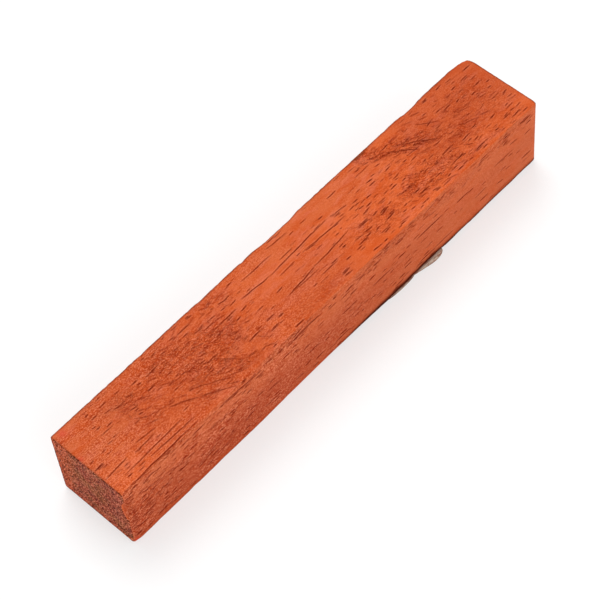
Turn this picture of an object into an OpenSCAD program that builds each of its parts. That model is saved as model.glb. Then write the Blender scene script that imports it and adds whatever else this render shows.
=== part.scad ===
// Turning blank of red-orange hardwood: one square stick, sawn to length across the grain.
// X runs along the grain from the near end to the far end, Y from the front face to the
// back face, and Z up. The origin is the middle of the underside, and all sizes are in mm.

/* [Blank] */
// Length along the grain
length = 126; // [60:0.5:300]
// Width of the top face, across the grain
width = 20.3; // [14:0.1:50]
// Height of the side faces
height = 19.9; // [14:0.1:50]

/* [Long arrises] */
// Radius of the arris between the top and the front face
top_front_radius = 0.9; // [0.1:0.1:2]
// Radius of the arris between the top and the back face
top_back_radius = 0.1; // [0.1:0.1:2]
// Radius of the arris between the underside and the front face
bottom_front_radius = 0.2; // [0.1:0.1:2]
// Radius of the arris between the underside and the back face
bottom_back_radius = 1.1; // [0.1:0.1:2]

/* [Sawn ends] */
// Radius of the upright arris between the near end and the front face
near_front_radius = 0.2; // [0.1:0.1:2]
// Radius of the upright arris between the near end and the back face
near_back_radius = 0.2; // [0.1:0.1:2]
// Radius of the upright arris between the far end and the front face
far_front_radius = 0.5; // [0.1:0.1:2]
// Radius of the upright arris between the far end and the back face
far_back_radius = 1.6; // [0.1:0.1:2]
// Radius of the level arrises between the ends and the top
end_top_radius = 0.2; // [0.1:0.1:2]
// Radius of the level arrises between the ends and the underside
end_bottom_radius = 0.3; // [0.1:0.1:2]

/* [Knocked corners] */
// Run of the knocked top corner along the back arris at the far end
knock_run = 6; // [1:0.5:10]
// Depth of that corner, in from the back face
knock_depth = 0.6; // [0.2:0.1:3]
// Drop of that corner, down from the top face
knock_drop = 3; // [0.5:0.5:8]
// Run of the chip in the lower front corner along the front face, at the near end
chip_run = 2.4; // [0.5:0.1:6]
// Depth of that chip, in from the front face
chip_depth = 0.9; // [0.2:0.1:3]
// Height of that chip, up from the underside
chip_height = 0.8; // [0.2:0.1:3]

/* [Worn arrises] */
// Distance from the near end to the middle of the hollow in the lower front arris
hollow_from_near = 57; // [25:1:100]
// Length of that hollow along the arris
hollow_span = 44; // [10:1:60]
// Height of that hollow on the front face
hollow_leg = 0.7; // [0.1:0.1:2]
// Height above the underside of the bite in the upright front arris, at the near end
bite_from_bottom = 13; // [4:0.5:30]
// Length of that bite along the arris
bite_span = 8; // [2:0.5:8]
// Width of that bite on the end face
bite_leg = 1.5; // [0.3:0.1:2.5]

/* [Splinter] */
// Distance from the far end to the blunt end of the splinter
splinter_from_far = 31.9; // [12:0.1:60]
// Length of the splinter along the lower front arris
splinter_length = 10; // [4:0.5:30]
// Reach of the splinter, out from the front face
splinter_reach = 1.2; // [0.4:0.1:3]
// Thickness of the splinter
splinter_thickness = 0.45; // [0.2:0.05:1]
// Angle at which the splinter falls away from the blank
splinter_fall = 10; // [2:1:20]
// Height on the front face of the hollow that the splinter was torn from
tear_leg = 0.8; // [0.4:0.1:2.5]
// Length of that hollow along the arris
tear_span = 14; // [6:1:40]

/* [Hidden] */
$fn = 64;
wood = [0.75, 0.30, 0.16];
over = 1;
scoop_facets = 256;
splinter_root = 2.2;
splinter_steps = 24;
splinter_middle = length / 2 - splinter_from_far - splinter_length / 2;
hollow_middle = hollow_from_near - length / 2;

// A rectangle centred on the origin with a radius of its own at each corner. The radii go
// round the corners from the lowest x and y: right, then up, then left.
module eased_rectangle(size, radii) {
    sides = [[-1, -1], [1, -1], [1, 1], [-1, 1]];
    difference() {
        square(size, center = true);
        for (i = [0:3])
            translate([sides[i].x * size.x, sides[i].y * size.y] / 2)
                square(2 * radii[i], center = true);
    }
    for (i = [0:3])
        translate([sides[i].x * (size.x / 2 - radii[i]), sides[i].y * (size.y / 2 - radii[i])])
            circle(radii[i]);
}

// The stick as the saw leaves it: what its section, its plan and its side view enclose.
module sawn_stick() {
    translate([0, 0, height / 2])
        intersection() {
            rotate([90, 0, 90])
                linear_extrude(length + 2 * over, center = true)
                    eased_rectangle(
                        [width, height],
                        [bottom_front_radius, bottom_back_radius, top_back_radius, top_front_radius]
                    );
            linear_extrude(height + 2 * over, center = true)
                eased_rectangle(
                    [length, width],
                    [near_front_radius, far_front_radius, far_back_radius, near_back_radius]
                );
            rotate([90, 0, 0])
                linear_extrude(width + 2 * over, center = true)
                    eased_rectangle(
                        [length, height],
                        [end_bottom_radius, end_bottom_radius, end_top_radius, end_top_radius]
                    );
        }
}

// A flat cut across a corner. Side points out of the blank along each axis, and legs are how
// far the cut runs along the three arrises that meet at the corner.
module corner_cut(corner, side, legs) {
    slope = [side.x / legs.x, side.y / legs.y, side.z / legs.z];
    depth = 1 / norm(slope);
    block = 4 * max(legs);
    translate(corner)
        rotate([0, -asin(slope.z * depth), atan2(slope.y, slope.x)])
            translate([block / 2 - depth, 0, 0])
                cube(block, center = true);
}

// A shallow round scoop out of an arris that runs along Z, with +X pointing out of the wood.
// Leg is its width on each of the two faces, and span is its length along the arris.
module arris_scoop(leg, span) {
    depth = leg / sqrt(2);
    radius = (pow(span / 2, 2) + pow(depth, 2)) / (2 * depth);
    translate([radius - depth, 0, 0])
        rotate([90, 0, 0])
            cylinder(r = radius, h = 6 * leg, center = true, $fn = scoop_facets);
}

module lower_front_scoop(middle, leg, span) {
    translate([middle, -width / 2, 0])
        rotate([-45, 0, 0])
            rotate([0, 90, 0])
                arris_scoop(leg, span);
}

module near_front_scoop(from_bottom, leg, span) {
    translate([-length / 2, -width / 2, from_bottom])
        rotate([0, 0, 225])
            arris_scoop(leg, span);
}

module wear() {
    corner_cut(
        [length / 2, width / 2, height],
        [1, 1, 1],
        [knock_run, knock_depth, knock_drop]
    );
    corner_cut(
        [-length / 2, -width / 2, 0],
        [-1, -1, -1],
        [chip_run, chip_depth, chip_height]
    );
    lower_front_scoop(hollow_middle, hollow_leg, hollow_span);
    lower_front_scoop(splinter_middle, tear_leg, tear_span);
    near_front_scoop(bite_from_bottom, bite_leg, bite_span);
}

// How far the splinter's edge stands out at t, from its thin tip at 0 to its blunt end at 1.
function splinter_edge(t) = splinter_reach * sqrt(sin(180 * pow(t, 2.2)));

// A flake still held by its root in the wood under the arris. It falls away from the blank,
// and its outer edge rests on the floor.
module splinter() {
    edge = [
        for (i = [0:splinter_steps])
            let (t = i / splinter_steps)
                [(t - 0.5) * splinter_length, -splinter_edge(t)]
    ];
    root = [[splinter_length / 2, splinter_root], [-splinter_length / 2, splinter_root]];
    translate([splinter_middle, -width / 2, splinter_reach * sin(splinter_fall)])
        rotate([splinter_fall, 0, 0])
            linear_extrude(splinter_thickness)
                polygon(concat(edge, root));
}

module wood_block() {
    color(wood) {
        difference() {
            sawn_stick();
            wear();
        }
        splinter();
    }
}

wood_block();
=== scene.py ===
import math

import bpy
import numpy as np
from mathutils import Matrix, Vector
from mathutils.bvhtree import BVHTree


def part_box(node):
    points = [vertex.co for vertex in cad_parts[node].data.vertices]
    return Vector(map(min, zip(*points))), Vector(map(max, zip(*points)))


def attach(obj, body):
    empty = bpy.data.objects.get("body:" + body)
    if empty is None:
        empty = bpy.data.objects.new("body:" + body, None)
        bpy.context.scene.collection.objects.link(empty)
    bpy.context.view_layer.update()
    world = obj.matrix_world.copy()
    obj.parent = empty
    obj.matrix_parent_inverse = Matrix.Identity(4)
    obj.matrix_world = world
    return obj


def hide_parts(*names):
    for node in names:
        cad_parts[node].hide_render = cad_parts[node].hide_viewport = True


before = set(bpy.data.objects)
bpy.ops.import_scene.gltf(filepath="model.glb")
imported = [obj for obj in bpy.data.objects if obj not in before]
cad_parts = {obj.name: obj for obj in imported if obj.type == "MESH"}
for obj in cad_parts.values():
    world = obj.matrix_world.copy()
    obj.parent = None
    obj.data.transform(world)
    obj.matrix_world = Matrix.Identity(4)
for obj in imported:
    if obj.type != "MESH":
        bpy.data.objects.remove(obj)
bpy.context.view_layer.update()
mm = 0.001

# The block's skin: one stick of red-orange hardwood, sawn square and cut to length. A fine grid
# is laid on the solid's own faces, arrises and chips, and everything that the saw, the grain and
# wear have opened in the wood is then pressed into it, never out of it.
low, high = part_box("wood_block")
# The solid's box takes in the splinter, so the front face is set as far out as the back one.
low.y = -high.y
# The grid's steps, which are closer near the sawn ends and near the long arrises.
along_step = 0.45 * mm
across_step = 0.3 * mm
end_run, end_step = 3.0 * mm, 0.25 * mm
arris_run, arris_step = 1.2 * mm, 0.15 * mm
# Each corner of the grid is sent out from a core this far inside, until it meets the solid.
core_depth = 3.0 * mm


def grid_lines(lowest, highest, step, edge_run, edge_step):
    """Where the grid's lines run from lowest to highest, with closer ones near both ends."""
    edge = np.linspace(0, edge_run, round(edge_run / edge_step) + 1)
    middle_run = highest - lowest - 2 * edge_run
    middle = edge_run + np.linspace(0, middle_run, math.ceil(middle_run / step) + 1)
    return np.concatenate([lowest + edge[:-1], lowest + middle, highest - edge[-2::-1]])


def quads(sheet):
    """The quads of one face of the grid, whose rows and columns of corners are in sheet."""
    corners = [sheet[:-1, :-1], sheet[1:, :-1], sheet[1:, 1:], sheet[:-1, 1:]]
    return np.stack(corners, -1).reshape(-1, 4)


lines = [
    grid_lines(low.x, high.x, along_step, end_run, end_step),
    grid_lines(low.y, high.y, across_step, arris_run, arris_step),
    grid_lines(low.z, high.z, across_step, arris_run, arris_step),
]
place = np.stack(np.meshgrid(*[np.arange(len(line)) for line in lines], indexing="ij"), -1)
last = np.array([len(line) - 1 for line in lines])
skin = ((place == 0) | (place == last)).any(-1)
corner = np.full(skin.shape, -1)
corner[skin] = np.arange(skin.sum())
place = place[skin]
box_point = np.stack([line[place[:, axis]] for axis, line in enumerate(lines)], 1)
skin_quads = np.concatenate([
    quads(corner[:, :, -1]),
    quads(corner[:, :, 0].T),
    quads(corner[:, 0, :]),
    quads(corner[:, -1, :].T),
    quads(corner[-1]),
    quads(corner[0].T),
])

core_low = np.array(low) + core_depth
core_high = np.array(high) - core_depth
core_point = np.clip(box_point, core_low, core_high)
outward = box_point - core_point
outward /= np.linalg.norm(outward, axis=1)[:, None]
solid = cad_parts["wood_block"].data
solid_tree = BVHTree.FromPolygons(
    [vertex.co for vertex in solid.vertices], [list(face.vertices) for face in solid.polygons]
)
point = box_point.copy()
for number, (start, way) in enumerate(zip(core_point, outward)):
    hit = solid_tree.ray_cast(Vector(start), Vector(way))[0]
    if hit is not None:
        point[number] = hit
point = np.clip(point, np.array(low), np.array(high))

# Where each corner of the grid lies on the block, in millimetres: x from the near end along the
# grain, y from the middle of the top, and z up from the underside.
x = (point[:, 0] - low.x) / mm
y = point[:, 1] / mm
z = point[:, 2] / mm
length, width, height = [size / mm for size in high - low]
on_near = place[:, 0] == 0
on_far = place[:, 0] == last[0]
on_front = place[:, 1] == 0
on_back = place[:, 1] == last[1]
on_under = place[:, 2] == 0
on_top = place[:, 2] == last[2]
on_end = on_near | on_far
long_faces = {
    "top": (on_top & ~on_end, y),
    "front": (on_front & ~on_end, z),
    "back": (on_back & ~on_end, z),
    "under": (on_under & ~on_end, y),
}
# How deep each corner is pressed in, in millimetres, how dark the torn wood is there, partly with
# painted shade in crevices and under steps, and how ragged it is.
depth = np.zeros(len(x))
torn = np.zeros(len(x))
ragged = np.zeros(len(x))
noise_rows, noise_columns = 97, 89


def bumps(u, v, seed):
    """Smooth noise from 0 to 1 over a plane, about one bump to each unit of u and v."""
    heights = np.random.default_rng(seed).random((noise_rows, noise_columns))
    row, column = np.floor(u).astype(int), np.floor(v).astype(int)
    s, t = u - row, v - column
    s, t = s * s * (3 - 2 * s), t * t * (3 - 2 * t)
    this_row, next_row = row % noise_rows, (row + 1) % noise_rows
    this_column, next_column = column % noise_columns, (column + 1) % noise_columns
    near = heights[this_row, this_column] * (1 - t) + heights[this_row, next_column] * t
    far = heights[next_row, this_column] * (1 - t) + heights[next_row, next_column] * t
    return near * (1 - s) + far * s


def strokes(u, v, slant, run, breadth, seed):
    """Bumps drawn out along a slant given in degrees, each about run long and breadth across."""
    turn = math.radians(slant)
    along = u * math.cos(turn) + v * math.sin(turn)
    aside = v * math.cos(turn) - u * math.sin(turn)
    return bumps(along / run, aside / breadth, seed)


def swell(value, lowest, highest):
    """A smooth rise from 0 to 1 as the value goes from lowest to highest."""
    t = np.clip((value - lowest) / (highest - lowest), 0, 1)
    return t * t * (3 - 2 * t)


# The vessels: long pores that the saw has cut open along their length. Each shows as a fine dark
# groove, tapered at both ends, and the plainest ones lie where the real block has them. They are
# cut into the skin, and the wood's material darkens them.
vessel_depth = 0.28
vessel_half_width = 0.16
# How far across and past its ends a vessel marks the grid, and how far it keeps from the next.
vessel_reach = 0.45
vessel_run_on = 0.6
vessel_clear = 0.95
# A vessel is kept as its strength and as how far each corner of the grid lies from its middle,
# on the first of these layers where no other vessel is near.
layer_count = 5
vessel_layers = [
    {"vessel": np.zeros(len(x)), "vessel_off": np.ones(len(x)), "taken": np.zeros(len(x), bool)}
    for number in range(layer_count)
]


def cut_vessel(face, start, end, level, end_level, strength):
    """Opens one vessel from start to end along the grain, at its levels across the face."""
    chosen, across = long_faces[face]
    here = np.flatnonzero(chosen & (x > start - vessel_run_on) & (x < end + vessel_run_on))
    t = (x[here] - start) / (end - start)
    row = np.full(len(here), level * 3.0)
    wander = 0.2 * (bumps(x[here] * 0.35, row, 5) - 0.5) + 0.1 * (bumps(x[here], row, 6) - 0.5)
    off = across[here] - (level + (end_level - level) * t + wander)
    near = np.abs(off) < vessel_clear
    here, off, t, row = here[near], off[near], t[near], row[near]
    for layer in vessel_layers:
        if not layer["taken"][here].any():
            break
    else:
        return
    power = strength * np.sin(np.pi * np.clip(t, 0, 1)) ** 0.35
    power *= (0.7 + 0.3 * bumps(x[here] * 0.8, row, 7)) * (np.abs(off) < vessel_reach)
    groove = np.exp(-((off / vessel_half_width) ** 2))
    depth[here] = np.maximum(depth[here], vessel_depth * power * groove)
    layer["vessel"][here] = power
    layer["vessel_off"][here] = off
    layer["taken"][here] = True


# Each vessel's start and end from the near end, its level at the start and at the end, which is
# y on the top and z on the front, and its strength.
top_vessels = [
    (48.5, 49.9, 8.3, 8.2, 0.9),
    (60.2, 66.4, 8.4, 8.0, 0.7),
    (61.6, 64.2, 9.3, 9.3, 0.8),
    (65.5, 68.2, 1.8, 1.6, 0.8),
    (73.6, 75.2, 1.5, 1.4, 1.0),
    (77.0, 80.1, -2.5, -2.7, 0.9),
    (77.0, 79.2, -4.1, -4.5, 0.9),
    (79.0, 81.0, -7.1, -7.1, 0.8),
    (66.0, 68.6, -8.1, -7.8, 0.9),
    (50.5, 52.7, -9.4, -9.4, 0.9),
    (80.6, 81.9, 1.6, 1.6, 0.8),
    (80.6, 82.3, -1.0, -0.8, 0.9),
    (81.5, 85.2, -5.9, -5.3, 0.9),
    (82.8, 85.2, -3.9, -3.6, 0.9),
    (41.7, 45.6, -4.4, -4.2, 0.9),
    (47.6, 49.0, -3.9, -3.9, 0.8),
    (46.5, 48.7, -6.3, -6.3, 0.9),
    (44.3, 46.5, 6.5, 6.1, 0.9),
]
# The other plain vessels were marked out before the camera was trued up, so the marks on each
# face are all moved over by one step along the block and one across it.
marked_vessels = {
    "top": [
        (0.1, 2.6, -2.0, -1.9, 1.0),
        (0.1, 6.5, -5.0, -4.6, 0.9),
        (8.2, 14.0, -5.1, -4.9, 0.8),
        (9.8, 15.1, -3.7, -4.1, 0.7),
        (3.2, 20.0, -7.1, -6.7, 0.8),
        (9.5, 22.0, -8.2, -8.2, 0.8),
        (0.7, 21.8, -9.7, -9.4, 0.9),
        (6.5, 9.8, 2.7, 2.7, 0.6),
        (12.3, 15.4, 5.2, 5.1, 0.7),
        (22.0, 26.0, 5.5, 5.9, 0.8),
        (27.5, 32.5, -10.4, -10.4, 0.5),
        (33.1, 36.9, 7.8, 7.8, 0.9),
        (36.2, 38.3, 5.3, 5.4, 0.7),
        (37.5, 40.5, 4.5, 4.5, 0.7),
        (40.6, 45.6, 3.1, 2.9, 0.9),
        (42.0, 45.4, -4.2, -4.1, 0.6),
        (47.3, 49.8, -3.6, -3.7, 0.7),
        (46.5, 48.7, -6.0, -6.0, 0.8),
        (50.0, 52.9, -9.3, -9.3, 0.8),
        (50.9, 60.0, 6.9, 6.8, 0.7),
        (47.9, 56.0, 3.9, 3.3, 0.9),
        (55.5, 74.1, 3.3, 4.1, 0.9),
        (53.7, 55.5, -0.7, -0.6, 0.9),
        (54.8, 63.5, -3.0, -2.2, 1.0),
        (57.3, 62.0, 1.8, 2.0, 0.7),
        (60.0, 64.0, 4.5, 4.6, 0.7),
        (62.8, 74.8, -2.2, -1.4, 0.8),
        (64.5, 77.3, 2.1, 1.6, 0.9),
        (62.8, 67.8, -4.8, -4.8, 0.6),
        (65.9, 67.8, -7.7, -7.6, 0.8),
        (70.7, 71.9, -3.4, -3.4, 1.0),
        (73.4, 76.2, -5.6, -5.5, 0.9),
        (75.0, 79.5, 3.5, 3.5, 0.8),
        (76.7, 79.9, -2.3, -2.2, 0.8),
        (77.8, 80.6, 7.5, 7.6, 0.8),
        (82.3, 84.5, -3.4, -3.3, 0.9),
        (85.9, 88.1, 2.9, 2.8, 0.9),
        (90.6, 92.8, 0.4, 0.5, 0.8),
        (90.9, 92.8, -5.3, -5.2, 1.0),
        (91.8, 94.0, -6.4, -6.6, 0.9),
        (102.0, 105.9, -3.4, -3.4, 0.8),
        (102.0, 105.6, -6.5, -6.4, 0.9),
        (107.5, 110.3, -4.3, -4.0, 0.8),
        (107.8, 110.9, -8.3, -8.1, 0.9),
        (111.4, 113.6, 4.0, 4.2, 0.8),
        (116.0, 117.5, -5.0, -4.9, 0.9),
        (119.5, 122.0, -8.3, -8.2, 1.0),
        (119.5, 122.0, 6.4, 6.6, 0.6),
        (122.1, 124.5, 7.9, 7.9, 0.9),
        (120.3, 122.5, -5.8, -5.8, 0.7),
    ],
    "front": [
        (5.1, 8.9, 17.9, 17.7, 0.9),
        (19.0, 22.6, 17.8, 17.8, 0.9),
        (28.2, 37.6, 18.7, 17.9, 1.0),
        (17.9, 20.1, 13.8, 13.8, 0.8),
        (12.5, 14.1, 12.3, 12.3, 0.8),
        (15.7, 16.8, 10.0, 10.0, 0.9),
        (9.0, 10.4, 9.5, 9.5, 0.7),
        (5.0, 7.2, 8.4, 8.4, 0.7),
        (21.2, 24.8, 6.7, 7.0, 0.8),
        (24.6, 28.2, 8.3, 8.2, 0.7),
        (1.2, 4.7, 4.3, 4.3, 0.9),
        (10.9, 12.9, 4.4, 4.4, 0.8),
        (6.9, 9.8, 2.2, 2.2, 0.9),
        (28.0, 29.8, 11.4, 11.4, 0.7),
        (34.3, 35.9, 14.6, 14.5, 0.9),
        (38.4, 40.0, 16.7, 16.7, 0.7),
        (46.8, 57.0, 17.5, 17.8, 0.9),
        (49.8, 51.5, 16.5, 16.3, 0.7),
        (48.0, 49.5, 13.2, 13.2, 0.9),
        (52.0, 55.6, 8.2, 8.1, 0.8),
        (40.0, 44.0, 8.5, 8.3, 0.7),
        (38.4, 43.4, 3.9, 3.7, 0.7),
        (60.2, 63.8, 3.0, 3.0, 0.9),
        (60.4, 61.6, 18.7, 18.7, 1.0),
        (62.8, 66.4, 10.5, 10.5, 0.8),
        (63.9, 66.7, 17.1, 17.1, 0.8),
        (64.5, 68.0, 7.2, 7.1, 0.6),
        (72.0, 78.4, 10.2, 10.2, 0.7),
        (82.8, 84.2, 12.3, 12.3, 0.8),
        (86.2, 94.7, 12.0, 11.9, 0.9),
        (86.7, 92.3, 2.7, 2.6, 0.9),
        (98.9, 103.1, 11.4, 11.4, 0.9),
        (106.7, 109.5, 4.0, 4.0, 0.8),
        (111.4, 117.8, 11.6, 11.4, 0.6),
        (120.3, 123.6, 17.7, 17.8, 0.9),
        (120.7, 123.9, 4.9, 4.9, 0.8),
        (121.4, 123.6, 12.7, 12.7, 0.7),
    ],
}
marked_steps = {"top": (0.3, -0.1), "front": (0.3, 0.1)}
for vessel_row in top_vessels:
    cut_vessel("top", *vessel_row)
for face, (on, over) in marked_steps.items():
    for *spots, strength in marked_vessels[face]:
        moved = [round(spot + step, 1) for spot, step in zip(spots, (on, on, over, over))]
        cut_vessel(face, *moved, strength)

# How many short and how many long vessels are scattered over each face.
vessel_counts = {"top": (40, 0), "front": (40, 0), "back": (170, 26), "under": (170, 26)}
arris_margin = 0.4
for order, (face, (short, long)) in enumerate(vessel_counts.items()):
    draw = np.random.default_rng(40 + order)
    lowest = arris_margin if face in ("front", "back") else arris_margin - width / 2
    for count in range(short + long):
        run = draw.uniform(4, 14) if count < long else 0.8 + draw.exponential(1.1)
        start = draw.uniform(0.2, length - run)
        level = lowest + draw.uniform(0, width - 2 * arris_margin)
        drift = draw.normal(0, 0.02) * run
        strength = draw.uniform(0.6, 0.95) if count < long else draw.uniform(0.25, 0.7)
        cut_vessel(face, start, start + run, level, level + drift, strength)

# Torn grain: the fibres rise and fall through the stick, so the saw has plucked them out in
# slanting patches. The floor of a patch is rough and a little darker, with painted shade in its
# crevices.
torn_slants = {"top": -26, "front": -2, "back": -18, "under": 22}
# Each patch's middle from the near end and its level, its half run and half width, its slant in
# degrees, and its strength.
torn_patches = {
    "top": [
        (17, 4.5, 9, 3.2, -15, 0.6),
        (29, 4.0, 10, 3.5, -25, 0.7),
        (33, -2.5, 8, 3.4, -28, 0.9),
        (38, 1.0, 7, 5.5, -35, 0.85),
        (36, -6.5, 8, 2.5, -20, 0.7),
        (45, 7.2, 5, 2.2, -20, 0.5),
        (58, -8.0, 12, 1.8, 0, 0.4),
        (80, -4.5, 9, 4.0, -10, 0.6),
        (93, 7.5, 6, 2.4, -30, 0.9),
        (101, 3.4, 8, 3.0, -30, 1.0),
        (97, -5.0, 12, 3.5, -8, 0.9),
        (109, -1.0, 8, 2.2, -28, 0.7),
        (117, 3.0, 7, 4.0, -20, 0.5),
        (112, -8.0, 12, 1.6, 0, 0.5),
        (106, -4.0, 12, 4.5, -15, 0.45),
        (117, 0.0, 9, 9.0, 0, 0.4),
        (98, 1.0, 10, 8.0, -20, 0.35),
        (84, -1.0, 10, 7.0, -10, 0.25),
        (29, 0.0, 18, 9.0, -10, 0.4),
    ],
    "front": [
        (8, 10.5, 9, 5.0, 0, 0.4),
        (48, 18.8, 12, 1.2, 0, 0.5),
        (78, 18.0, 13, 2.2, 0, 0.6),
        (97, 17.0, 12, 2.4, -5, 0.5),
        (117, 17.8, 9, 2.0, 0, 0.5),
        (30, 5.0, 10, 4.0, 0, 0.3),
    ],
    "back": [
        (24, 12.0, 12, 4.0, -20, 0.8),
        (70, 7.0, 14, 4.5, -18, 0.8),
        (106, 14.0, 10, 3.5, -20, 0.7),
    ],
    "under": [
        (30, -3.0, 13, 4.0, 22, 0.8),
        (64, 4.0, 12, 4.0, 20, 0.7),
        (99, -2.0, 12, 4.5, 24, 0.9),
    ],
}
for order, (face, patches) in enumerate(torn_patches.items()):
    chosen, across = long_faces[face]
    here = np.flatnonzero(chosen)
    u, v = x[here], across[here]
    patch = np.zeros(len(here))
    for middle, level, half_run, half_width, slant, strength in patches:
        turn = math.radians(slant)
        along = (u - middle) * math.cos(turn) + (v - level) * math.sin(turn)
        aside = (v - level) * math.cos(turn) - (u - middle) * math.sin(turn)
        inside = 1.15 - np.hypot(along / half_run, aside / half_width)
        shape = inside + 0.5 * bumps(u, v, 11) - 0.25
        patch = np.maximum(patch, strength * swell(shape, 0, 0.7))
    slant = torn_slants[face]
    fibre = strokes(u, v, slant / 3, 1.6, 0.6, 20 + order)
    clump = strokes(u, v, slant, 3.0, 1.4, 30 + order)
    wave = strokes(u, v, slant, 7.0, 3.0, 35 + order)
    pluck = swell(0.5 * fibre + 0.5 * clump, 0.5, 0.7) * patch
    crevice = np.exp(-(((clump - 0.5) / 0.07) ** 2)) * patch * swell(fibre, 0.3, 0.7)
    # Painted shade in the crevices, on a floor of plucked fibres that is a little darker.
    torn[here] = np.maximum(torn[here], np.maximum(0.35 * pluck, crevice))
    ragged[here] = patch
    depth[here] += 0.24 * pluck + 0.32 * patch * swell(clump, 0.44, 0.56) + 0.3 * patch * wave
    depth[here] += 0.1 * crevice
    depth[here] += 0.015 * bumps(u * 0.5, v * 2.6, 50 + order)

# Slanting steps: where a whole band of fibres has come away, the wood drops at a sharp lip and
# rises again gently beside it, and a line of painted shadow and a dark groove run along the lip.
# The plain ones lie where the real block has them, and small ones are strewn over the torn
# stretches of the top.
lip_rise = 1.2
# Each step's start and level, its end and level, the half width of its line of painted shadow, and its
# drop.
slant_steps = [
    (20.2, -2.7, 26.5, -6.0, 0.5, 0.30),
    (26.0, -5.6, 33.0, -10.0, 0.5, 0.30),
    (25.5, -2.7, 34.4, -8.0, 0.5, 0.25),
    (32.5, -6.5, 37.5, -8.6, 0.45, 0.20),
    (13.9, 3.0, 13.7, 0.4, 0.45, 0.18),
    (13.8, 0.6, 16.5, -1.4, 0.45, 0.22),
    (16.2, -1.3, 20.5, -2.4, 0.4, 0.18),
    (34.3, -1.2, 38.3, -6.6, 0.40, 0.18),
    (94.9, 6.3, 100.9, 1.9, 0.6, 0.40),
    (97.2, 6.5, 105.6, 0.3, 0.6, 0.35),
    (104.7, 6.3, 109.0, 2.7, 0.5, 0.25),
    (91.3, 8.3, 96.3, 6.0, 0.45, 0.18),
    (110.4, -0.8, 114.8, -2.8, 0.45, 0.25),
    (118.9, 0.5, 120.9, 0.0, 0.40, 0.16),
]
draw = np.random.default_rng(90)
# Each stretch's start and end, its lowest and highest level, and how many small steps it has.
tear_fields = [(13, 24, -3, 6, 26), (24, 45, -8, 9, 90), (92, 116, -3, 9, 50), (80, 110, -9, -2, 20)]
for field_start, field_end, lowest, highest, count in tear_fields:
    for number in range(count):
        start, level = draw.uniform(field_start, field_end), draw.uniform(lowest, highest)
        run, slope = draw.uniform(0.8, 3.2), math.radians(draw.normal(-16, 14))
        end, end_level = start + run * math.cos(slope), level + run * math.sin(slope)
        slant_steps.append((start, level, end, end_level, 0.4, draw.uniform(0.08, 0.24)))
here = np.flatnonzero(long_faces["top"][0])
wobble = 0.6 * (bumps(x[here] * 0.7, y[here] * 0.7, 12) - 0.5)
for start, level, end, end_level, half_width, drop in slant_steps:
    run = np.array([end - start, end_level - level])
    reach = np.stack([x[here] - start, y[here] - level], 1)
    t = reach @ run / (run @ run)
    off = (reach[:, 0] * run[1] - reach[:, 1] * run[0]) / np.linalg.norm(run) + wobble
    fade = swell(t, -0.05, 0.15) * (1 - swell(t, 0.85, 1.05))
    depth[here] += drop * fade * swell(off, -0.15, 0.1) * np.exp(-np.clip(off, 0, None) / lip_rise)
    # Painted shadow: a dark line along each step's lip, and a dark groove cut there like a vessel's.
    line = fade * np.exp(-((off / (0.6 * half_width)) ** 2))
    torn[here] = np.maximum(torn[here], line)
    cut_vessel("top", start, end, level, end_level, min(0.1 + 1.7 * drop, 0.8))

# Fields of short vessels: most pores cross the sawn face at a shallow angle and show only as a
# short dash. They crowd together on the torn stretches and thin out on the smooth ones. Each
# field has its start and end, its lowest and highest level, and how many it holds.
vessel_fields = {
    "top": [
        (6.0, 24.0, 0.0, 9.5, 60),
        (0.5, 24.0, -9.5, 0.0, 25),
        (23.0, 44.0, -8.0, 9.5, 170),
        (42.0, 52.0, -9.5, 9.5, 40),
        (60.0, 75.0, -9.5, 9.5, 40),
        (74.0, 90.0, -9.5, 4.0, 80),
        (88.0, 110.0, -9.0, -1.0, 170),
        (86.0, 104.0, -1.0, 8.0, 70),
        (102.0, 125.0, -5.0, 9.0, 80),
        (108.0, 125.0, -10.0, -5.0, 35),
    ],
    "front": [
        (0.2, 3.0, 2.0, 16.5, 40),
        (0.2, 14.0, 1.0, 19.0, 55),
        (3.0, 44.0, 1.0, 17.0, 90),
        (44.0, 85.0, 1.0, 15.5, 50),
        (85.0, 125.0, 1.0, 15.5, 20),
        (10.0, 55.0, 17.0, 19.5, 45),
        (55.0, 125.0, 15.5, 19.5, 60),
    ],
}
for order, (face, fields) in enumerate(vessel_fields.items()):
    draw = np.random.default_rng(80 + order)
    for field_start, field_end, lowest, highest, count in fields:
        for number in range(count):
            run = draw.uniform(0.8, 1.9 if face == "top" else 2.7)
            start = draw.uniform(field_start, field_end - run)
            level = draw.uniform(lowest, highest)
            drift = draw.normal(0, 0.06) * run
            strength = draw.uniform(0.15 if face == "top" else 0.35, 1.0)
            cut_vessel(face, start, start + run, level, level + drift, strength)

# Sawn ends: the saw has left fine lines across the end grain, and it has broken fibres out along
# the upright front arris at the near end.
end_here = np.flatnonzero(on_end)
depth[end_here] += 0.05 * bumps(y[end_here] * 2.2, z[end_here] * 2.2, 61)
depth[end_here] += 0.03 * bumps(y[end_here] * 0.3, z[end_here] * 3.0, 62)
front_here = np.flatnonzero(on_front & ~on_end)
broken = np.exp(-x[front_here] / 1.6) * swell(z[front_here], 1, 4)
broken *= swell(bumps(x[front_here] * 0.4, z[front_here] * 1.9, 63), 0.35, 0.7)
depth[front_here] += 0.35 * broken
torn[front_here] = np.maximum(torn[front_here], broken)

# Worn arrises: each long one is rubbed and nicked a little differently along its length, and the
# upright ones at the far end are rubbed rounder.
wear_reach = 0.5
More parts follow.
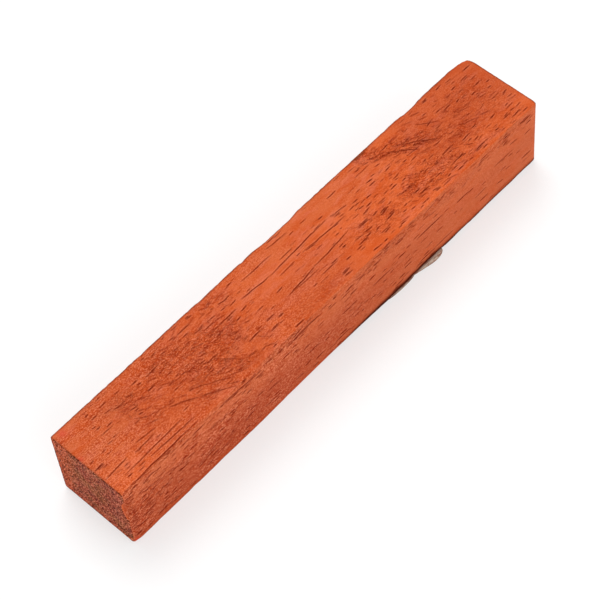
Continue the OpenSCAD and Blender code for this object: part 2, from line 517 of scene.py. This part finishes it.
# How far the grid's corners lie from each arris, its wear, the pace of its long dips, and a seed.
arrises = [
    (np.hypot(y - width / 2, z - height), 0.30, 0.16, 71),
    (np.hypot(y + width / 2, z - height), 0.16, 0.5, 72),
    (np.hypot(y - width / 2, z), 0.12, 0.3, 73),
    (np.hypot(y + width / 2, z), 0.08, 0.4, 74),
]
for off, wear, pace, seed in arrises:
    rubbed = swell(bumps(x * pace, off * 0, seed), 0.55, 1.0)
    rubbed += 0.3 * swell(bumps(x * 1.1, off * 0, seed + 9), 0.4, 1.0)
    depth += wear * rubbed * np.exp(-((off / wear_reach) ** 2))
depth += 0.5 * np.exp(-((np.hypot(x - length, y - width / 2) / 1.5) ** 2))
depth += 0.15 * np.exp(-((np.hypot(x - length, y + width / 2) / 0.9) ** 2))

# Painted shade: a thin uneven dark line along the sharp arrises, most of all along the lower front
# one, where the block meets the floor. The foot of the front face turns a deeper orange.
arris_shade = np.zeros(len(x))
arris_shade_reach = 0.32
# The painted shade line along the foot stands higher on the far half, and highest over the splinter.
foot_rise = np.maximum(0.7 * (1 - ((x - 79) / 22) ** 2), 0.8 * (1 - ((x - 89) / 7) ** 2))
foot_off = np.clip(z - np.clip(foot_rise, 0, None), 0, None) + on_top + on_end + 9 * on_back
# How far the grid's corners lie from each arris and along it, its strength, and a seed.
shaded_arrises = [
    (np.hypot(y - width / 2, z - height), x, 0.8, 81),
    (np.hypot(x - length, z - height), y, 0.7, 82),
    (foot_off / (1 + 1.6 * swell(x, 50, 66)), x, 0.5 + 0.9 * swell(x, 50, 66), 83),
    (np.hypot(x, z - height), y, 0.5, 88),
    (np.hypot(x, z), y, 0.9, 84),
    (np.hypot(x - length, y + width / 2), z, 0.6, 85),
    (np.hypot(x, y - width / 2), z, 0.7, 86),
]
for off, run, strength, seed in shaded_arrises:
    line = np.exp(-((off / arris_shade_reach) ** 2)) * (0.6 + 0.4 * bumps(run * 0.5, run * 0, seed))
    arris_shade = np.clip(np.maximum(arris_shade, strength * line), 0, 1)
arris_shade[on_under] *= on_front[on_under]
red_stain = np.zeros(len(x))
for spot_x, spot_y, spot_z, spread in [
    (0.6, -9.9, 0.8, 1.0), (0.2, 1.9, 19.8, 0.8), (2.2, 8.9, 19.8, 1.0), (0.3, 9.6, 17.5, 0.8),
]:
    off = np.sqrt((x - spot_x) ** 2 + (y - spot_y) ** 2 + (z - spot_z) ** 2)
    red_stain = np.maximum(red_stain, np.exp(-((off / spread) ** 2)))
foot = (on_front & ~on_end) * (1 - swell(z + 0.8 * bumps(x * 0.4, z * 0, 87), 1.0, 2.6))

# The wood's own tone: duller along three stretches of the top and where fibres are broken off, and
# rosier on two stretches of the top. The front is also darker low on its near half, and both side
# faces take a duller, rosier colour, which is painted shade and sheen.
dull = 0.45 * swell(x, 94, 106) * (0.3 + 0.7 * swell(y, -8, -2))
dull += 0.28 * swell(x, 7, 15) * (1 - swell(x, 40, 58))
dull += 0.35 * swell(x, 46, 58) * (1 - swell(x, 66, 76)) * (1 - swell(y, -2, 4))
front_dull = 0.72 * (1 - swell(z, 5, 19)) * (1 - swell(x, 35, 100))
front_dull += 0.25 * swell(x, 15, 40) * np.exp(-(((z - 9.5) / 4) ** 2))
dull = np.where(on_front, front_dull, dull)
dull[front_here] = np.maximum(dull[front_here], 0.8 * broken)
dull[on_near & (x > 0.3)] = 0.8
side_face = (on_front | on_back).astype(float)
rosy_and_side_sheen = 0.45 * (1 - swell(x, 10, 20)) * swell(y, -8, 0)
rosy_and_side_sheen += 0.35 * swell(x, 45, 60) * (1 - swell(x, 86, 100)) * swell(y, 0, 6)
# Painted shade and sheen: both side faces take the duller, rosier colour.
rosy_and_side_sheen = np.maximum(rosy_and_side_sheen, 0.7 * side_face)
# The sawn ends are brown end grain, which turns orange towards the back and at the foot.
end_skin = 0.12
end_grain = (on_end & (np.minimum(x, length - x) < end_skin)).astype(float)
end_rim = swell(y + 0.15 * z + 2 * bumps(y * 0.4, z * 0.4, 64), 7.0, 10.5)
end_rim = np.maximum(end_rim, 0.7 * (1 - swell(z, 0.8, 3.2)))

point -= outward * (depth * mm)[:, None]
block_mesh = bpy.data.meshes.new("wood_block_skin")
block_mesh.from_pydata(point.tolist(), [], skin_quads.tolist())
block_mesh.shade_smooth()
point_values = {
    f"{name}_{number}": layer[name]
    for number, layer in enumerate(vessel_layers)
    for name in ("vessel", "vessel_off")
}
point_values |= {
    "torn": torn,
    "ragged": ragged,
    "end_grain": end_grain,
    "end_rim": 0.8 * end_rim,
    "side_face": side_face,
    "rosy_and_side_sheen": rosy_and_side_sheen,
    "arris_shade": arris_shade,
    "foot": foot,
    "red_stain": red_stain,
    "dull": dull,
}
for name, values in point_values.items():
    block_mesh.attributes.new(name, "FLOAT", "POINT").data.foreach_set("value", values)
block = bpy.data.objects.new("block", block_mesh)
bpy.context.scene.collection.objects.link(block)
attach(block, "root")
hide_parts("wood_block")


# The wood itself: raw, dry and matt, red-orange along the grain and brown on the sawn ends. One
# material paints the whole block, and the skin's values say where it is torn, stained or dull, and
# where shade and sheen are painted.
class Tone:
    """One socket of a node tree. Sums and products of tones add the Math nodes they need."""

    tree = None

    def __init__(self, socket):
        self.socket = socket

    @classmethod
    def node(cls, kind, settings, sockets, output=0):
        """A node of that type, with its settings made first, then its sockets filled or linked."""
        made = cls.tree.nodes.new(kind)
        for name, value in settings.items():
            setattr(made, name, value)
        for name, value in sockets.items():
            if isinstance(value, cls):
                cls.tree.links.new(value.socket, made.inputs[name])
            else:
                made.inputs[name].default_value = value
        return cls(made.outputs[output]) if made.outputs else None

    def math(self, operation, *others):
        values = dict(enumerate((self, *others)))
        return Tone.node("ShaderNodeMath", {"operation": operation}, values)

    def __add__(self, other):
        return self.math("ADD", other)

    def __sub__(self, other):
        return self.math("SUBTRACT", other)

    def __mul__(self, other):
        return self.math("MULTIPLY", other)

    def __truediv__(self, other):
        return self.math("DIVIDE", other)

    def __rsub__(self, other):
        return Tone.node("ShaderNodeMath", {"operation": "SUBTRACT"}, {0: other, 1: self})

    __radd__ = __add__
    __rmul__ = __mul__

    def rise(self, lowest, highest):
        """A smooth rise from 0 to 1 as this goes from lowest to highest."""
        settings = {"interpolation_type": "SMOOTHSTEP"}
        sockets = {"Value": self, "From Min": lowest, "From Max": highest}
        return Tone.node("ShaderNodeMapRange", settings, sockets)


def attribute(name):
    return Tone.node("ShaderNodeAttribute", {"attribute_name": name}, {}, "Fac")


def colour(red, green, blue):
    """A screen colour of 8-bit parts, as the linear colour that a shader takes."""
    parts = [part / 255 for part in (red, green, blue)]
    linear = [p / 12.92 if p <= 0.04045 else ((p + 0.055) / 1.055) ** 2.4 for p in parts]
    return (*linear, 1.0)


def stain(under, over, share):
    """Colour over laid on colour under, in that share."""
    # A Mix node takes colours at its sockets 6 and 7 and gives one at its output 2.
    settings = {"data_type": "RGBA"}
    return Tone.node("ShaderNodeMix", settings, {0: share, 6: under, 7: over}, 2)


def grain_noise(size, detail=2.0, rough=0.5, shift=0.0, slant=0.0):
    """Noise in the block's own space, whose bumps are of that size in mm, slanted on the top."""
    sockets = {
        "Vector": on_block,
        "Scale": [side * mm for side in size],
        "Rotation": (0.0, 0.0, math.radians(slant)),
        "Location": [shift * mm] * 3,
    }
    spread = Tone.node("ShaderNodeMapping", {"vector_type": "TEXTURE"}, sockets)
    sockets = {"Vector": spread, "Scale": 1.0, "Detail": detail, "Roughness": rough}
    return Tone.node("ShaderNodeTexNoise", {}, sockets)


heartwood = bpy.data.materials.new("heartwood")
heartwood.use_nodes = True
Tone.tree = heartwood.node_tree
Tone.tree.nodes.clear()
on_block = Tone.node("ShaderNodeTexCoord", {}, {}, "Object")

smooth_orange = colour(210, 96, 48)
deep_orange = colour(190, 70, 14)
blush = colour(214, 114, 84)
pale_fibre_and_highlight = colour(236, 142, 106)
rose_and_side_sheen = colour(184, 96, 61)
umber = colour(146, 31, 0)
pore_and_shadow_red = colour(112, 16, 0)
foot_orange = colour(176, 68, 26)
dull_red = colour(164, 68, 38)
arris_shade_brown = colour(72, 16, 0)
stain_red = colour(206, 72, 56)

cloud = grain_noise((9.0, 2.2, 2.2), 4.0, 0.65)
flush = grain_noise((6.0, 2.0, 2.0), 4.0, 0.65, 23.0)
worn = grain_noise((10.0, 5.3, 5.3), 1.0, 0.5, 50.0).rise(0.42, 0.62)
along_block = Tone.node("ShaderNodeSeparateXYZ", {}, {"Vector": on_block}, "X")
near_half = 1.0 - along_block.rise(-0.03, 0.02)
gritty = near_half * (0.1 + 0.2 * worn + 0.12 * attribute("side_face"))
fuzz = grain_noise((0.4, 0.2, 0.26), 1.0, 0.6, 3.0)
fibre = grain_noise((1.5, 0.24, 0.32), 2.0, 0.6, 7.0)
tear = grain_noise((2.6, 0.8, 0.9), 2.0, 0.5, 11.0, -22.0)
flake = grain_noise((1.4, 0.5, 0.6), 1.0, 0.5, 19.0, -12.0)
ragged = attribute("ragged")
grit = 0.1 + gritty + 0.2 * ragged.math("MAXIMUM", worn * 0.4)
tears = 0.85 * ragged + 0.1 * gritty
# Painted shade: a thin dark line along the low side of each little shelf of torn wood, partly a dark
# crack.
tear_edge = tear.rise(0.45, 0.48) * (1.0 - tear.rise(0.49, 0.51))
flake_edge = flake.rise(0.52, 0.55) * (1.0 - flake.rise(0.56, 0.58))
cracks_and_shade = tears * (tear_edge + 0.7 * flake_edge)
shelves = tears * (0.9 * tear.rise(0.48, 0.52) + 0.5 * flake.rise(0.55, 0.58))
vessel_spread = 1.0 + 0.7 * attribute("side_face")
pores_and_step_shadow, rim_highlights = 0.0, 0.0
for number in range(len(vessel_layers)):
    open_vessel = attribute(f"vessel_{number}")
    off_centre = attribute(f"vessel_off_{number}").math("ABSOLUTE") / vessel_spread
    pore_and_step_shadow = open_vessel * (1.0 - off_centre.rise(0.05, 0.2))
    # A pale rim beside each vessel: partly raised fibres, partly a painted highlight.
    rim_highlight = open_vessel * off_centre.rise(0.16, 0.3) * (1.0 - off_centre.rise(0.3, 0.44))
    pores_and_step_shadow = pore_and_step_shadow.math("MAXIMUM", pores_and_step_shadow)
    rim_highlights = rim_highlight.math("MAXIMUM", rim_highlights)
torn_wood = attribute("torn")

# Rosier stretches of the top, and painted shade and sheen on both side faces, which also take less of
# the deep orange and the blush.
along = stain(smooth_orange, rose_and_side_sheen, attribute("rosy_and_side_sheen"))
along = stain(along, deep_orange, cloud.rise(0.44, 0.64) * (0.6 - 0.3 * attribute("side_face")))
along = stain(along, blush, flush.rise(0.48, 0.66) * (0.4 - 0.25 * attribute("side_face")))
along = stain(along, dull_red, attribute("dull"))
along = stain(along, umber, fuzz.rise(0.51, 0.62) * grit)
along = stain(along, pale_fibre_and_highlight, (1.0 - fuzz).rise(0.51, 0.62) * grit)
along = stain(along, umber, fibre.rise(0.52, 0.64) * grit)
# Pale rims beside the vessels, partly raised fibres and partly painted highlight.
along = stain(along, pale_fibre_and_highlight, rim_highlights * 0.35)
# Darker torn wood, partly painted shade in its crevices and under its steps.
along = stain(along, umber, torn_wood * 0.24)
# Painted shade along the low side of each little shelf, partly dark cracks.
along = stain(along, umber, cracks_and_shade * 0.8)
along = stain(along, foot_orange, attribute("foot") * 0.6)
along = stain(along, stain_red, attribute("red_stain") * 0.6)
# Dark pores, and the painted shadow lines along the slanting steps.
along = stain(along, pore_and_shadow_red, pores_and_step_shadow)

end_brown = colour(176, 80, 46)
end_rose = colour(164, 64, 44)
end_khaki = colour(152, 80, 42)
end_dark = colour(40, 4, 0)
end_orange = colour(206, 82, 38)
end_pale = colour(236, 146, 114)
ring_pores = grain_noise((0.6, 0.34, 0.34), 3.0, 0.7, 5.0)
ring_clots = grain_noise((2.6, 2.4, 1.8), 3.0, 0.6, 7.0)
rays = grain_noise((2.0, 6.5, 5.0), 2.0, 0.5, 9.0)
across = stain(end_brown, end_rose, rays.rise(0.4, 0.6))
across = stain(across, end_khaki, (1.0 - rays).rise(0.46, 0.6) * 0.8)
across = stain(across, end_orange, attribute("end_rim"))
across = stain(across, end_dark, ring_clots.rise(0.5, 0.64) * 0.5)
across = stain(across, end_dark, ring_pores.rise(0.52, 0.57))
across = stain(across, end_pale, (1.0 - ring_pores).rise(0.54, 0.59) * 0.85)
wood_colour = stain(along, across, attribute("end_grain"))
# The thin dark lines of painted shade along the arrises.
wood_colour = stain(wood_colour, arris_shade_brown, attribute("arris_shade"))

relief = fuzz * grit + shelves - pores_and_step_shadow * 1.2 - torn_wood * 0.4
relief = relief - 0.5 * attribute("end_grain") * ring_pores
bump = Tone.node(
    "ShaderNodeBump", {}, {"Strength": 1.0, "Distance": 0.2 * mm, "Height": relief}
)
surface = Tone.node(
    "ShaderNodeBsdfPrincipled",
    {},
    {
        "Base Color": wood_colour,
        "Roughness": 0.72 + pores_and_step_shadow * 0.2,
        "Specular IOR Level": 0.04,
        "Normal": bump,
    },
)
Tone.node("ShaderNodeOutputMaterial", {}, {"Surface": surface})
block_mesh.materials.append(heartwood)

# The splinters: two pale flakes of sapwood that have lifted from the lower front arris and still
# hang on by their roots. The larger one is nearly half a millimetre thick, and both thin out to
# their edges.
splinter_root = 1.4 * mm
splinter_fall = math.radians(10)
splinter_rows, splinter_columns = 64, 20
# Each one's far end from the near end of the block, its run, reach, thickness and bluntness.
splinters = {
    "splinter": (94.2 * mm, 10.0 * mm, 1.16 * mm, 0.42 * mm, 2.2),
    "small_splinter": (85.2 * mm, 8.4 * mm, 0.40 * mm, 0.24 * mm, 1.2),
}
splinter_pieces = []
for name, (blunt_end, run, reach, thickness, bluntness) in splinters.items():
    corners, edge_shade = [], []
    for side in (1, -1):
        for row in range(splinter_rows + 1):
            t = row / splinter_rows
            edge = reach * max(math.sin(math.pi * t**bluntness), 0) ** 0.5
            for column in range(splinter_columns + 1):
                share = column / splinter_columns
                out = -splinter_root + (splinter_root + edge) * share
                half = thickness / 2 * math.sqrt(max(1 - share**4, 0))
                half *= max(1 - (2 * t - 1) ** 8, 0) ** 0.5
                lift = thickness / 2 + (reach - out) * math.sin(splinter_fall) + side * half
                corners.append((
                    low.x + blunt_end - run * (1 - t), low.y - out, low.z + max(lift, 0.02 * mm)
                ))
                # Painted shade: the flake is darkened at its blunt end, where it leaves the block, and
                # at its edge.
                blunt = max((t - 0.93) / 0.07, 0)
                edge_shade.append(max(blunt, 1 - abs(out) / (0.5 * mm), (share - 0.9) / 0.2, 0))
    grid = np.arange(len(corners)).reshape(2, splinter_rows + 1, splinter_columns + 1)
    faces = np.concatenate([quads(grid[0][:, ::-1]), quads(grid[1])])
    splinter_mesh = bpy.data.meshes.new(name)
    splinter_mesh.from_pydata(corners, [], faces.tolist())
    splinter_mesh.shade_smooth()
    splinter_mesh.attributes.new("edge_shade", "FLOAT", "POINT").data.foreach_set("value", edge_shade)
    splinter = bpy.data.objects.new(name, splinter_mesh)
    bpy.context.scene.collection.objects.link(splinter)
    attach(splinter, "root")
    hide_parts("wood_block")
    splinter_pieces.append(splinter)

sapwood = bpy.data.materials.new("sapwood")
sapwood.use_nodes = True
Tone.tree = sapwood.node_tree
Tone.tree.nodes.clear()
on_block = Tone.node("ShaderNodeTexCoord", {}, {}, "Object")
sap_fibre = grain_noise((2.0, 0.22, 0.22), 3.0, 0.6)
sap_colour = stain(colour(208, 190, 172), colour(150, 108, 88), sap_fibre.rise(0.42, 0.6))
# Painted shade on the flake, at its blunt end, at its root and along its edge.
sap_colour = stain(sap_colour, colour(110, 62, 44), attribute("edge_shade") * 0.8)
sap_bump = Tone.node(
    "ShaderNodeBump", {}, {"Strength": 0.5, "Distance": 0.08 * mm, "Height": sap_fibre}
)
sap_surface = Tone.node(
    "ShaderNodeBsdfPrincipled",
    {},
    {"Base Color": sap_colour, "Roughness": 0.7, "Specular IOR Level": 0.15, "Normal": sap_bump},
)
Tone.node("ShaderNodeOutputMaterial", {}, {"Surface": sap_surface})
for piece in splinter_pieces:
    piece.data.materials.append(sapwood)

# The floor: a wide white sheet of paper under the block. The camera sees it washed out to white,
# with a faint shadow.
floor_half = 3.0
floor_mesh = bpy.data.meshes.new("floor")
floor_mesh.from_pydata(
    [(-floor_half, -floor_half, low.z), (floor_half, -floor_half, low.z),
     (floor_half, floor_half, low.z), (-floor_half, floor_half, low.z)],
    [],
    [(0, 1, 2, 3)],
)
floor = bpy.data.objects.new("floor", floor_mesh)
bpy.context.scene.collection.objects.link(floor)
paper = bpy.data.materials.new("paper")
paper.use_nodes = True
Tone.tree = paper.node_tree
Tone.tree.nodes.clear()
seen = Tone.node("ShaderNodeLightPath", {}, {}, "Is Camera Ray")
seen = seen.math("MAXIMUM", Tone.node("ShaderNodeLightPath", {}, {}, "Is Glossy Ray"))
seen = seen.math("MAXIMUM", Tone.node("ShaderNodeLightPath", {}, {}, "Is Transmission Ray"))
sheet = Tone.node("ShaderNodeBsdfDiffuse", {}, {"Color": (0.97, 0.97, 0.97, 1.0)})
glow = Tone.node("ShaderNodeEmission", {}, {"Color": (1.0, 1.0, 1.0, 1.0), "Strength": 1.0})
washed = Tone.node("ShaderNodeMixShader", {}, {0: seen * 0.55, 1: sheet, 2: glow})
Tone.node("ShaderNodeOutputMaterial", {}, {"Surface": washed})
floor_mesh.materials.append(paper)

# The light: a soft white room, with a broad lamp high up behind the block and to its left, and
# a weaker one low in front that fills the shade.
world = bpy.data.worlds.new("room")
bpy.context.scene.world = world
world.use_nodes = True
Tone.tree = world.node_tree
Tone.tree.nodes.clear()
seen = Tone.node("ShaderNodeLightPath", {}, {}, "Is Camera Ray")
room = Tone.node("ShaderNodeBackground", {}, {"Color": (1.0, 1.0, 1.0, 1.0), "Strength": 0.62})
backdrop = Tone.node("ShaderNodeBackground", {}, {"Color": (1.0, 1.0, 1.0, 1.0), "Strength": 1.0})
lit = Tone.node("ShaderNodeMixShader", {}, {0: seen, 1: room, 2: backdrop})
Tone.node("ShaderNodeOutputWorld", {}, {"Surface": lit})

# Each lamp's place and size in metres, and its watts.
lamps = {
    "key_lamp": ((0.20, 0.42, 0.85), 0.6, 4.9),
    "fill_lamp": ((-0.10, -0.70, 0.42), 0.8, 3.2),
}
for name, (lamp_place, lamp_size, watts) in lamps.items():
    lamp_data = bpy.data.lights.new(name, "AREA")
    lamp_data.size = lamp_size
    lamp_data.energy = watts
    lamp = bpy.data.objects.new(name, lamp_data)
    lamp.location = lamp_place
    lamp.rotation_euler = (-lamp.location).to_track_quat("-Z", "Y").to_euler()
    bpy.context.scene.collection.objects.link(lamp)

# The camera: a long lens that looks down along the block from its near front corner, held a
# little out of level.
camera_data = bpy.data.cameras.new("camera")
camera_data.sensor_width = 36.0
camera_data.lens = 133.92
camera_data.clip_start = 0.01
camera = bpy.data.objects.new("camera", camera_data)
camera_place = Vector((-174.26, -194.51, 397.56)) * mm
camera_aim = Vector((-2.81, -0.65, 10.02)) * mm
camera_tilt = math.radians(6.914)
level_view = (camera_aim - camera_place).to_track_quat("-Z", "Y").to_matrix().to_4x4()
camera.matrix_world = (
    Matrix.Translation(camera_place) @ level_view @ Matrix.Rotation(-camera_tilt, 4, "Z")
)
bpy.context.scene.collection.objects.link(camera)
bpy.context.scene.camera = camera
bpy.context.scene.view_settings.view_transform = "Standard"
